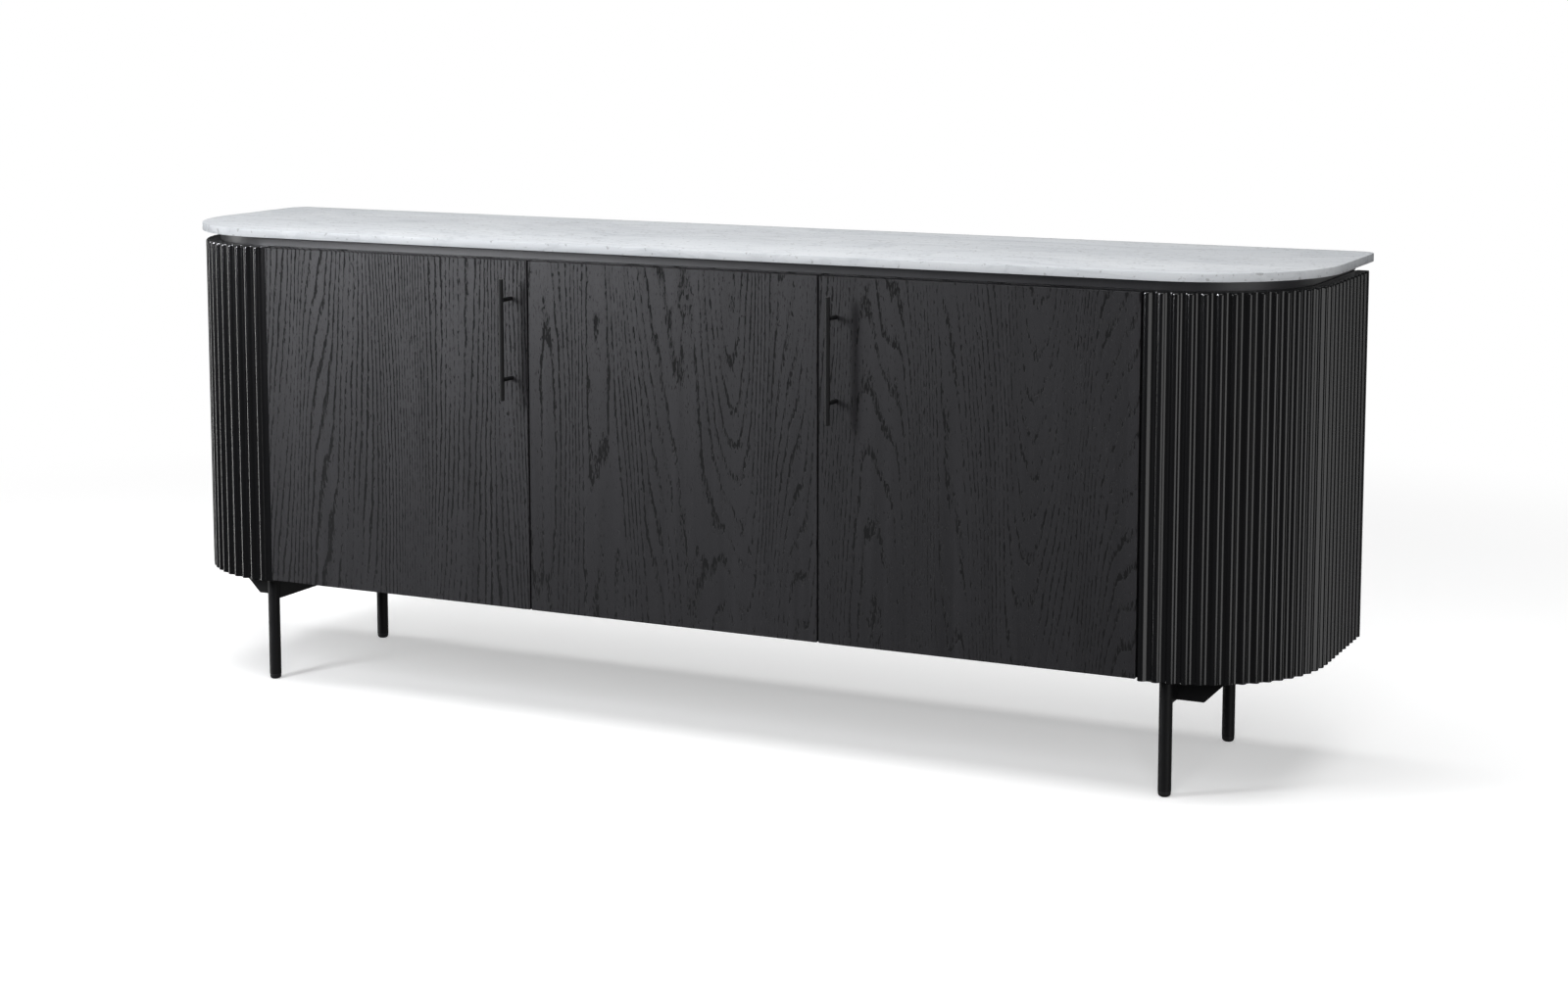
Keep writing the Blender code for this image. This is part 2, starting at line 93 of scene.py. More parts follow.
class Graph:
    """One material's node tree, built with short calls. Every value may be a number or a socket."""

    def __init__(self, name):
        self.material = bpy.data.materials.new(name)
        self.material.use_nodes = True
        self.tree = self.material.node_tree
        self.tree.nodes.clear()
        output = self.tree.nodes.new("ShaderNodeOutputMaterial")
        self.shader = self.tree.nodes.new("ShaderNodeBsdfPrincipled")
        self.tree.links.new(self.shader.outputs[0], output.inputs["Surface"])
        self.place = self.tree.nodes.new("ShaderNodeTexCoord").outputs["Object"]

    def feed(self, target, value):
        """Links an input to a socket, or sets it to a plain value."""
        if isinstance(value, bpy.types.NodeSocket):
            self.tree.links.new(value, target)
        elif target.type == "RGBA":
            target.default_value = (*value, 1.0)
        else:
            target.default_value = value

    def node(self, kind, inputs, **settings):
        made = self.tree.nodes.new(kind)
        for key, value in settings.items():
            setattr(made, key, value)
        for key, value in inputs.items():
            self.feed(made.inputs[key], value)
        return made

    def math(self, operation, *values):
        inputs = dict(enumerate(values))
        return self.node("ShaderNodeMath", inputs, operation=operation).outputs[0]

    def add(self, *values):
        total = values[0]
        for value in values[1:]:
            total = self.math("ADD", total, value)
        return total

    def minus(self, a, b):
        return self.math("SUBTRACT", a, b)

    def times(self, a, b):
        return self.math("MULTIPLY", a, b)

    def parts(self, vector):
        return self.node("ShaderNodeSeparateXYZ", {"Vector": vector}).outputs

    def vector(self, x, y, z):
        return self.node("ShaderNodeCombineXYZ", {"X": x, "Y": y, "Z": z}).outputs[0]

    def stretched(self, vector, scale, offset=(0.0, 0.0, 0.0)):
        inputs = {0: vector, 1: scale, 2: offset}
        return self.node("ShaderNodeVectorMath", inputs, operation="MULTIPLY_ADD").outputs[0]

    def noise(self, vector, scale=1.0, detail=2.0, roughness=0.5, distortion=0.0):
        inputs = {
            "Vector": vector,
            "Scale": scale,
            "Detail": detail,
            "Roughness": roughness,
            "Distortion": distortion,
        }
        return self.node("ShaderNodeTexNoise", inputs).outputs["Fac"]

    def remap(self, value, low, high, to_low=0.0, to_high=1.0, smooth=False):
        inputs = {
            "Value": value,
            "From Min": low,
            "From Max": high,
            "To Min": to_low,
            "To Max": to_high,
        }
        made = self.node("ShaderNodeMapRange", inputs)
        made.interpolation_type = "SMOOTHSTEP" if smooth else "LINEAR"
        return made.outputs["Result"]

    def spread(self, noise, to_low=0.0, to_high=1.0):
        """Spreads the middle range of a noise over the range that is asked for."""
        return self.remap(noise, NOISE_LOW, NOISE_HIGH, to_low, to_high)

    def ramp(self, value, stops):
        made = self.node("ShaderNodeValToRGB", {"Fac": value})
        elements = made.color_ramp.elements
        while len(elements) < len(stops):
            elements.new(0.5)
        for element, (position, level) in zip(elements, stops):
            element.position = position
            element.color = (level, level, level, 1.0)
        return made.outputs["Color"]

    def blend(self, factor, a, b):
        inputs = {"Factor": factor, 6: a, 7: b}
        return self.node("ShaderNodeMix", inputs, data_type="RGBA").outputs[2]

    def bump(self, height, distance, strength):
        inputs = {"Height": height, "Distance": distance, "Strength": strength}
        return self.node("ShaderNodeBump", inputs).outputs[0]

    def finish(self, color, roughness, normal=None, metallic=0.0, specular=0.5):
        self.feed(self.shader.inputs["Base Color"], color)
        self.feed(self.shader.inputs["Roughness"], roughness)
        if normal is not None:
            self.feed(self.shader.inputs["Normal"], normal)
        self.shader.inputs["Metallic"].default_value = metallic
        self.shader.inputs["Specular IOR Level"].default_value = specular
        return self.material


def shaded(color, painted_light_level):
    return tuple(painted_light_level * channel for channel in color)


OAK_LATE = (0.0234, 0.0229, 0.0253)
OAK_EARLY = (0.0110, 0.0108, 0.0120)
OAK_PORE = (0.0020, 0.0020, 0.0022)
OAK_RING = ((0.0, 0.12), (0.09, 1.0), (0.20, 0.9), (0.42, 0.12), (1.0, 0.0))
OAK_PORE_EDGE = 0.08
BOARD_RINGS = 70.0


def oak(
    name,
    grain="z",
    across="x",
    seed=0.0,
    rings=BOARD_RINGS,
    tilt=0.0,
    lean=0.0,
    painted_light_level=1.0,
    contrast=1.0,
    face=0.0,
):
    """Black-stained open-pore oak veneer.

    The grain runs along one axis. The growth rings are contour lines of a field stretched along
    it, which gives straight flanks and cathedral arches. The rings slant through the thickness
    from the face's plane, so that a board's edges show them as lines.
    """
    g = Graph(name)
    axes = dict(zip("xyz", g.parts(g.place)))
    depth = next(axis for axis in "xyz" if axis not in (grain, across))
    along, through = axes[grain], axes[depth]
    wide = g.add(axes[across], g.minus(through, face))

    def figure(wide_scale, along_scale, offset, detail=0.0, roughness=0.0):
        """A noise over the face, with its scales in waves per metre."""
        place = g.vector(g.times(wide, wide_scale), g.times(along, along_scale), offset)
        return g.noise(place, detail=detail, roughness=roughness)

    def threads(fine_scale, along_scale, detail=1.0, roughness=0.5, distortion=0.0):
        """A noise in threads along the grain, through the whole board."""
        u, w = g.times(wide, fine_scale), g.times(through, fine_scale)
        place = g.vector(u, w, g.times(along, along_scale))
        return g.noise(place, detail=detail, roughness=roughness, distortion=distortion)

    def above(value, edge):
        """One where a noise stands above an edge, with a short soft step."""
        return g.remap(g.minus(value, edge), 0.0, OAK_PORE_EDGE, smooth=True)

    broad = figure(4.2, 0.36, seed)
    medium = figure(15.0, 1.1, seed + 7.3)
    wobble = figure(60.0, 14.0, seed + 3.1, detail=1.0, roughness=0.5)
    field = g.add(
        g.times(broad, rings),
        g.times(medium, rings * 0.14),
        g.times(wobble, 0.70),
        g.times(along, tilt),
        g.times(wide, lean),
    )
    band = g.ramp(g.math("FRACT", field), OAK_RING)
    strength = figure(14.0, 3.0, seed + 11.0, detail=2.0, roughness=0.5)
    band = g.times(band, g.remap(strength, 0.34, 0.56, 0.35 * contrast, contrast))

    dash = above(threads(420.0, 95.0, distortion=0.1), g.remap(band, 0.0, 1.0, 0.70, 0.33))
    pore = above(threads(1100.0, 120.0), g.remap(band, 0.0, 1.0, 0.64, 0.44))
    open_grain = g.math("MAXIMUM", dash, g.times(pore, 0.7))
    streak = threads(60.0, 1.6, detail=3.0, roughness=0.6)

    tone = g.remap(streak, 0.28, 0.72)
    # Painted light: the tone factor makes the left door lighter and the right door darker, a
    # painted sheen that fades away from the left lamp. At one it changes nothing.
    late = g.blend(tone, shaded(OAK_LATE, 0.85 * painted_light_level), shaded(OAK_LATE, 1.15 * painted_light_level))
    color = g.blend(g.times(band, 0.50), late, shaded(OAK_EARLY, painted_light_level))
    color = g.blend(g.times(open_grain, 0.95), color, OAK_PORE)
    rough = g.add(
        g.remap(open_grain, 0.0, 1.0, 0.44, 0.90),
        g.times(band, 0.05),
        g.remap(streak, 0.2, 0.8, -0.03, 0.03),
    )
    height = g.add(g.times(open_grain, -1.0), g.times(band, -0.20), g.times(streak, 0.15))
    relief = g.bump(height, distance=0.00026, strength=0.8)
    return g.finish(color, rough, relief, specular=0.44)


MARBLE_GROUND = (0.610, 0.628, 0.648)
MARBLE_CLOUD = (0.560, 0.580, 0.604)
MARBLE_STREAK = (0.375, 0.396, 0.425)
MARBLE_VEIN = (0.370, 0.392, 0.422)
MARBLE_SPECK = (0.220, 0.222, 0.225)
MARBLE_CRYSTAL = (0.720, 0.735, 0.750)
MARBLE_STRETCH = (1.0, 2.3, 2.3)
MARBLE_WARP = (1.6, 1.9, 1.9)
VEIN_HALF_WIDTH = 0.040


def marble():
    """White marble with soft grey clouds, faint veins, fine dark specks and short streaks that
    run mostly lengthwise."""
    g = Graph("carrara_marble")
    place = g.stretched(g.place, MARBLE_STRETCH)

    def warp(offset):
        return g.noise(g.stretched(place, MARBLE_WARP, offset), detail=3.0, roughness=0.55)

    x, y, z = g.parts(place)
    warped_x = g.add(x, g.times(warp((3.0, 1.0, 0.0)), 0.7))
    warped_y = g.add(y, g.times(warp((9.0, 4.0, 2.0)), 0.9))
    warped = g.vector(warped_x, warped_y, z)

    clouds = g.noise(g.stretched(warped, (2.6, 5.0, 5.0)), detail=5.0, roughness=0.62)
    cloud = g.remap(clouds, 0.36, 0.66, smooth=True)
    streak_place = g.stretched(warped, (9.0, 26.0, 26.0), (4.0, 7.0, 1.0))
    streaks = g.noise(streak_place, detail=4.0, roughness=0.62, distortion=0.6)
    streak = g.remap(streaks, 0.46, 0.68, smooth=True)
    vein_place = g.stretched(warped, (3.4, 6.4, 6.4), (5.0, 2.0, 0.0))
    vein_field = g.noise(vein_place, detail=4.0, roughness=0.58)
    ridge = g.math("ABSOLUTE", g.minus(vein_field, 0.5))
    vein = g.remap(ridge, 0.0, VEIN_HALF_WIDTH, 1.0, 0.0, smooth=True)
    speck = g.remap(g.noise(g.place, scale=120.0), 0.62, 0.70, smooth=True)
    crystals = g.noise(g.place, scale=420.0, detail=3.0, roughness=0.6)

    color = g.blend(cloud, MARBLE_GROUND, MARBLE_CLOUD)
    color = g.blend(g.times(streak, 0.30), color, MARBLE_STREAK)
    color = g.blend(g.times(vein, g.spread(clouds, 0.10, 0.36)), color, MARBLE_VEIN)
    color = g.blend(g.times(speck, 0.55), color, MARBLE_SPECK)
    color = g.blend(g.spread(crystals, 0.0, 0.12), color, MARBLE_CRYSTAL)
    rough = g.add(g.remap(crystals, 0.2, 0.8, 0.49, 0.57), g.times(vein, 0.05))
    relief = g.bump(crystals, distance=0.00004, strength=0.4)
    return g.finish(color, rough, relief, specular=0.30)


LACQUER_DARK = (0.0048, 0.0048, 0.0053)
LACQUER_PALE = (0.0066, 0.0066, 0.0073)
# Painted sheen: the band under the stone is the body's black lacquer made five times paler, to
# stand in for the left lamp's sheen on it.
BAND_PAINTED_SHEEN = 5.0
BAND_ROUGH = 0.40


def lacquer(name="satin_black_lacquer", painted_light_level=1.0, rough_low=0.155):
    """Satin black lacquer over routed board: a soft orange peel and faint upright lines."""
    g = Graph(name)
    peel = g.noise(g.place, scale=520.0)
    lines = g.noise(g.stretched(g.place, (700.0, 700.0, 9.0)), roughness=0.6)
    cloud = g.noise(g.stretched(g.place, (9.0, 9.0, 3.0)), detail=3.0, roughness=0.6)
    # The tone factor scales the lacquer's colour. The band's factor of five is painted sheen.
    pale = shaded(LACQUER_PALE, painted_light_level)
    color = g.blend(g.spread(cloud), shaded(LACQUER_DARK, painted_light_level), pale)
    color = g.blend(g.remap(lines, 0.45, 0.75, 0.0, 0.3), color, shaded(pale, 1.5))
    rough = g.add(g.spread(lines, rough_low, rough_low + 0.02), g.spread(cloud, -0.01, 0.02))
    relief = g.bump(peel, distance=0.000006, strength=0.3)
    return g.finish(color, rough, relief, specular=0.8)


def powder_coat():
    g = Graph("black_powder_coat")
    grit = g.noise(g.place, scale=1500.0, roughness=0.55)
    cloud = g.noise(g.place, scale=24.0)
    color = g.blend(g.spread(grit), (0.0050, 0.0050, 0.0053), (0.0085, 0.0085, 0.0090))
    rough = g.add(g.spread(grit, 0.44, 0.56), g.spread(cloud, -0.02, 0.02))
    relief = g.bump(grit, distance=0.00006, strength=0.55)
    return g.finish(color, rough, relief, specular=0.35)


def nickel():
    g = Graph("nickel_plate")
    brushing = g.noise(g.stretched(g.place, (300.0, 300.0, 2600.0)), roughness=0.6)
    stain = g.noise(g.place, scale=60.0, detail=3.0, roughness=0.6)
    color = g.blend(g.spread(stain), (0.60, 0.585, 0.56), (0.70, 0.69, 0.67))
    rough = g.add(g.spread(brushing, 0.20, 0.34), g.remap(stain, 0.4, 0.8, 0.0, 0.06))
    return g.finish(color, rough, g.bump(brushing, distance=0.00002, strength=0.4), metallic=1.0)


def plastic():
    g = Graph("moulded_black_plastic")
    grit = g.noise(g.place, scale=2200.0)
    swirl = g.noise(g.place, scale=45.0)
    color = g.blend(g.spread(swirl), (0.012, 0.012, 0.012), (0.020, 0.020, 0.021))
    relief = g.bump(grit, distance=0.00004, strength=0.5)
    return g.finish(color, g.spread(grit, 0.44, 0.60), relief, specular=0.45)


def rubber():
    g = Graph("bumper_rubber")
    grit = g.noise(g.place, scale=900.0)
    color = g.blend(g.spread(grit), (0.10, 0.10, 0.10), (0.13, 0.13, 0.13))
    relief = g.bump(grit, distance=0.00003, strength=0.4)
    return g.finish(color, g.spread(grit, 0.50, 0.62), relief)


# The doors' tone factors are painted light: a painted sheen, lighter on the left door and darker on
# the right. The other values set the grain's figure.
DOOR_FIGURES = {
    "door_left": {"seed": 2.0, "rings": 36.0, "lean": 110.0, "painted_light_level": 1.15, "contrast": 1.3},
    "door_center": {"seed": 5.4, "rings": 72.0},
    "door_right": {"seed": 8.7, "rings": 64.0, "tilt": 5.0, "painted_light_level": 0.88, "contrast": 0.8},
}


def make_materials():
    made = {
        "marble": marble(),
        "satin_lacquer": lacquer(),
        "band": lacquer("satin_black_band", BAND_PAINTED_SHEEN, BAND_ROUGH),
        "powder_coat": powder_coat(),
        "nickel": nickel(),
        "plastic": plastic(),
        "rubber": rubber(),
        "upright": oak("oak_upright_panel", across="y", seed=12.0),
        "level": oak("oak_level_panel", grain="x", across="y", seed=15.0),
        "back": oak("oak_back_panel", grain="x", across="z", seed=21.0),
    }
    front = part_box("door_left")[0].y
    for door, figure in DOOR_FIGURES.items():
        made[door] = oak(f"oak_{door}", face=front, **figure)
    return made


NODE_LOOKS = {
    "door_left": "door_left",
    "door_center": "door_center",
    "door_right": "door_right",
    "end_panel_left": "upright",
    "end_panel_right": "upright",
    "partition_left": "upright",
    "partition_right": "upright",
    "carcass_top": "level",
    "carcass_bottom": "level",
    "shelf_left": "level",
    "shelf_center": "level",
    "shelf_right": "level",
    "back_panel": "back",
    "top_spacer": "band",
}
WELD_REACH = 0.000005
SMOOTH_ANGLE = math.radians(32)


def finish_nodes(materials):
    """Gives every CAD node its material, and smooth shading where it is round."""
    slots = {row["node"]: row["material_slot"] for row in frame["record"]["subparts"]}
    for name, node in NODES.items():
        node.data.materials.clear()
        node.data.materials.append(materials[NODE_LOOKS.get(name, slots[name])])
        round_off(node)


def round_off(node):
    """Joins the split faces of an imported node and shades its curved faces smooth."""
    mesh = node.data
    normals = mesh.attributes.get("custom_normal")
    if normals is not None:
        mesh.attributes.remove(normals)
    mesh.shade_smooth()
    weld = node.modifiers.new("weld", "WELD")
    weld.merge_threshold = WELD_REACH
    split = node.modifiers.new("sharp_edges", "EDGE_SPLIT")
    split.split_angle = SMOOTH_ANGLE


# ---------------------------------------------------------------- shapes

ROUND_STEPS = 32
SHARP_ANGLE = 35
SCREW_SHARP_ANGLE = 30
SHELL_SHARP_ANGLE = 38

# A screw head's outline and cross recess, as shares of its radius and height.
PAN_HEAD = ((1.0, 0.0), (1.0, 0.35), (0.96, 0.62), (0.86, 0.84), (0.72, 1.0))
CROSS_ARM = 0.17
CROSS_REACH = 0.60
CROSS_TAPER = 0.80
CROSS_FLOOR = 0.35

PLATE_EASE = 0.0003
PLATE_EASE_STEPS = 2
PLATE_CORNER_STEPS = 6
ANGLE_SLACK = 1e-6
LEVEL_SLACK = 1e-7


def new_mesh(name, cage, sharp=SHARP_ANGLE):
    """Turns a bmesh into a mesh that is smooth except along its sharp edges."""
    bmesh.ops.recalc_face_normals(cage, faces=cage.faces)
    mesh = bpy.data.meshes.new(name)
    cage.to_mesh(mesh)
    cage.free()
    mesh.shade_smooth()
    mesh.set_sharp_from_angle(angle=math.radians(sharp))
    return mesh


def ring_stack(cage, rings):
    """Skins a stack of equal closed rings of points, and caps its ends."""
    rows = [[cage.verts.new(point) for point in ring] for ring in rings]
    count = len(rows[0])
    for lower, upper in zip(rows, rows[1:]):
        for i in range(count):
            j = (i + 1) % count
            cage.faces.new((lower[i], lower[j], upper[j], upper[i]))
    cage.faces.new(list(reversed(rows[0])))
    cage.faces.new(rows[-1])


def circle(radius, height, steps):
    turns = [math.tau * i / steps for i in range(steps)]
    return [(radius * math.cos(turn), radius * math.sin(turn), height) for turn in turns]


def turned_mesh(name, profile, steps=ROUND_STEPS):
    """A solid turned about Z from (radius, height) points, from its underside to its top."""
    cage = bmesh.new()
    ring_stack(cage, [circle(radius, height, steps) for radius, height in profile])
    return new_mesh(name, cage)


def screw_mesh(name, radius, height):
    """A pan head, underside on Z = 0, with a cross recess for the driver."""
    arm = CROSS_ARM * radius
    reach = CROSS_REACH * radius
    tip = math.atan2(arm, reach)
    between = (tip + math.pi / 4) / 2
    angles = []
    for quarter in range(4):
        base = quarter * math.pi / 2
        angles += [base + a for a in (-between, -tip, 0.0, tip, between, math.pi / 4)]

    def cross(angle):
        fold = abs((angle + math.pi / 4) % (math.pi / 2) - math.pi / 4)
        return reach / math.cos(fold) if fold <= tip + ANGLE_SLACK else arm / math.sin(fold)

    def ring(radii, z):
        return [(r * math.cos(a), r * math.sin(a), z) for a, r in zip(angles, radii)]

    rings = [ring([radius * share] * len(angles), height * rise) for share, rise in PAN_HEAD]
    rings.append(ring([cross(a) for a in angles], height))
    rings.append(ring([cross(a) * CROSS_TAPER for a in angles], height * CROSS_FLOOR))
    cage = bmesh.new()
    ring_stack(cage, rings)
    return new_mesh(name, cage, SCREW_SHARP_ANGLE)


def plate_mesh(name, outline, thickness):
    """A flat plate from a plan outline, underside on Z = 0, with a small bevel round its edges."""
    cage = bmesh.new()
    face = cage.faces.new([cage.verts.new((x, y, 0.0)) for x, y in outline])
    made = bmesh.ops.extrude_face_region(cage, geom=[face])
    moved = [item for item in made["geom"] if isinstance(item, bmesh.types.BMVert)]
    bmesh.ops.translate(cage, verts=moved, vec=(0.0, 0.0, thickness))
    bmesh.ops.recalc_face_normals(cage, faces=cage.faces)
    rims = [e for e in cage.edges if abs(e.verts[0].co.z - e.verts[1].co.z) < LEVEL_SLACK]
    steps = PLATE_EASE_STEPS
    bmesh.ops.bevel(cage, geom=rims, offset=PLATE_EASE, segments=steps, affect="EDGES")
    return new_mesh(name, cage)


def rounded_box_outline(half_x, half_y, radius):
    points = []
    for corner, (sx, sy) in enumerate(((1, 1), (-1, 1), (-1, -1), (1, -1))):
        for i in range(PLATE_CORNER_STEPS + 1):
            a = math.pi / 2 * (corner + i / PLATE_CORNER_STEPS)
            x = sx * (half_x - radius) + radius * math.cos(a)
            y = sy * (half_y - radius) + radius * math.sin(a)
            points.append((x, y))
    return points


UP = (0, 0, 1)
DOWN = (0, 0, -1)
REARWARD = (0, 1, 0)


def add_piece(name, mesh, body, look, place=(0, 0, 0), facing=UP, spin=0.0):
    """Puts a piece in the scene with its local +Z turned to facing, riding on a body. Its look is
    a material and the slot that it stands for. The slot is not used."""
    material, slot = look
    piece = bpy.data.objects.new(name, mesh)
    turn = Vector(UP).rotation_difference(Vector(facing)).to_matrix().to_4x4()
    piece.matrix_world = Matrix.Translation(place) @ turn @ Matrix.Rotation(spin, 4, "Z")
    bpy.context.scene.collection.objects.link(piece)
    if not mesh.materials:
        mesh.materials.append(material)
    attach(piece, body)
    return piece


# ---------------------------------------------------------------- fluted corners

CORNER_RADIUS = 0.213
CORNER_BOARD_START = 0.766
SHELL_THICKNESS = 0.022
RIB_PITCH = 0.0216
RIB_WIDTH = 0.0108
RIB_HEIGHT = 0.0055
RIB_STEPS = 10
RIB_TOP_ROUND = 0.0036
RIB_FOOT_ROUND = 0.0008
RIB_END_STEPS = 5
FIRST_RIB = {"left": 0.0132, "right": 0.0}
SEAM_REACH = 0.000002


def rib_wave(start, length):
    """The ribs and grooves as (distance, height) points along a corner board. Crests and coves
    are equal arcs, and a board whose first rib starts later begins with a flat and half a cove."""
    half_turn = 2 * math.atan(RIB_HEIGHT / RIB_WIDTH)
    arc_radius = RIB_WIDTH / 2 / math.sin(half_turn)
    arc = []
    for step in range(RIB_STEPS + 1):
        a = half_turn * (2 * step / RIB_STEPS - 1)
        arc.append((RIB_WIDTH / 2 + arc_radius * math.sin(a), arc_radius * (1 - math.cos(a))))
    crest = [(x, RIB_HEIGHT - drop) for x, drop in arc]
    cove = [(RIB_WIDTH + x, drop) for x, drop in arc[1:-1]]
    wave = []
    if start > 0:
        half_cove = arc[RIB_STEPS // 2 : -1]
        wave = [(0.0, 0.0)] + [(start - RIB_WIDTH + x, drop) for x, drop in half_cove]
    while start < length:
        wave += [(start + x, y) for x, y in crest + cove if start + x < length]
        start += RIB_PITCH
    wave.append((length, wave[-1][1]))
    return wave


def rib_end_rows(round_size):
    """Levels near a rib's end: how far in, and the share of the rib's height left there."""
    rows = []
    for step in range(RIB_END_STEPS + 1):
        turn = math.pi / 2 * step / RIB_END_STEPS
        drop = round_size / RIB_HEIGHT * (1 - math.sin(turn))
        rows.append((round_size * (1 - math.cos(turn)), 1 - drop))
    return rows


def fluted_corner(side, sign, look):
    """A board bent round the corner, with an even wave of upright ribs that have round ends."""
    node = f"fluted_corner_{side}"
    low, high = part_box(node)
    half_width = max(abs(low.x), abs(high.x))
    face_y, back_y = low.y, high.y
    straight = half_width - CORNER_RADIUS - CORNER_BOARD_START
    arc_length = CORNER_RADIUS * math.pi / 2
    length = straight + arc_length + (back_y - face_y) - CORNER_RADIUS

    def path(distance, depth):
        """The plan place of a point at a distance along the board and a depth into it."""
        if distance <= straight:
            x, y = CORNER_BOARD_START + distance, depth
        elif distance <= straight + arc_length:
            turn = (distance - straight) / CORNER_RADIUS
            radius = CORNER_RADIUS - depth
            x = half_width - CORNER_RADIUS + radius * math.sin(turn)
            y = CORNER_RADIUS - radius * math.cos(turn)
        else:
            x = half_width - depth
            y = CORNER_RADIUS + distance - straight - arc_length
        return sign * x, face_y + y

    wave = rib_wave(FIRST_RIB[side], length)
    rows = [(low.z + lift, share) for lift, share in rib_end_rows(RIB_FOOT_ROUND)]
    rows += [(high.z - lift, share) for lift, share in reversed(rib_end_rows(RIB_TOP_ROUND))]

    cage = bmesh.new()
    outer = [
        [cage.verts.new((*path(d, RIB_HEIGHT - y * share), z)) for d, y in wave]
        for z, share in rows
    ]
    inner = [
        [cage.verts.new((*path(d, SHELL_THICKNESS), z)) for d, _ in wave] for z in (low.z, high.z)
    ]
    last = len(wave) - 1
    for lower, upper in [*zip(outer, outer[1:]), (inner[0], inner[1])]:
        for i in range(last):
            cage.faces.new((lower[i], lower[i + 1], upper[i + 1], upper[i]))
    for edge, skin in ((outer[0], inner[0]), (outer[-1], inner[1])):
        for i in range(last):
            cage.faces.new((edge[i], edge[i + 1], skin[i + 1], skin[i]))
    for i in (0, last):
        cage.faces.new([row[i] for row in outer] + [inner[1][i], inner[0][i]])
    bmesh.ops.remove_doubles(cage, verts=cage.verts, dist=SEAM_REACH)
    mesh = new_mesh(f"fluted_shell_{side}", cage, SHELL_SHARP_ANGLE)
    piece = add_piece(f"fluted_shell_{side}", mesh, "cabinet", look)
    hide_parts(node)


# ---------------------------------------------------------------- fittings

# The slot that each added piece's material stands for.
LOOK_SLOTS = {
    "satin_lacquer": "satin_lacquer",
    "powder_coat": "powder_coat",
    "nickel": "nickel",
    "plastic": "plastic",
    "rubber": "plastic",
}

# Radius and height of the screw heads.
SMALL_HEAD = (0.0034, 0.0014)
LARGE_HEAD = (0.0046, 0.0020)
FLUSH_HEAD = (0.0036, 0.0006)

# Plates: half width, half height and corner radius.
TAB_OUTLINE = (0.0075, 0.0080, 0.0060)
TAB_THICKNESS = 0.0007
EAR_OUTLINE = (0.0160, 0.0055, 0.0040)
EAR_THICKNESS = 0.0025

# Turned solids: radius and height of each step.
WASHER = ((0.0060, 0.0), (0.0060, 0.0004), (0.0042, 0.0006))
RIVET = ((0.0014, 0.0), (0.0012, 0.0002), (0.0006, 0.00028))
RIVET_STEPS = 16
SHELF_PIN = (
    (0.0025, 0.0),
    (0.0025, 0.0010),
    (0.0040, 0.0012),
    (0.0040, 0.0022),
    (0.0025, 0.0024),
    (0.0025, 0.0085),
    (0.0020, 0.0090),
)
SHELF_PIN_STEPS = 24
SLEEVE = ((0.0036, 0.0), (0.0035, 0.0003), (0.0026, 0.0003), (0.0025, 0.0001))
SLEEVE_STEPS = 20
BUMPER = (
    (0.0042, 0.0),
    (0.0042, 0.0004),
    (0.0038, 0.0010),
    (0.0028, 0.0015),
    (0.0014, 0.0018),
    (0.0004, 0.0019),
)
BUMPER_STEPS = 24


def middle(node):
    low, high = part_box(node)
    return (low + high) / 2


def add_fittings(looks):
    small = screw_mesh("screw_small", *SMALL_HEAD)
    add_hinge_fittings(looks["nickel"], small)
    add_handle_fittings(looks["nickel"])
    add_frame_screws(looks["powder_coat"])
    add_back_screws(looks["nickel"])
    add_latch_fittings(looks, small)
    add_shelf_hardware(looks)
    add_bumpers(looks["rubber"])


TAB_RISE = 0.0255
TAB_SCREW_SHARE = 1.06
PLATE_SCREW_RISE = 0.0155
ARM_SCREW_OUT = 0.0098
ARM_SCREW_FROM_REAR = 0.006
ARM_SCREW_FROM_FRONT = 0.012

# Screws are left at odd turns. A spin is in radians, and a spin rate in radians for each metre
# of a screw's place. The back screws' spin is from one screw to the next.
CUP_SCREW_SPIN = 0.4
CUP_SCREW_SPIN_RATE = 40
PLATE_SCREW_SPIN_RATE = 70
ARM_SCREW_SPIN_RATE = 9
HANDLE_SCREW_SPIN = 0.3
FLANGE_SCREW_SPIN_RATE = 90
BACK_SCREW_SPIN = 0.7
LATCH_SCREW_SPIN_RATE = 8


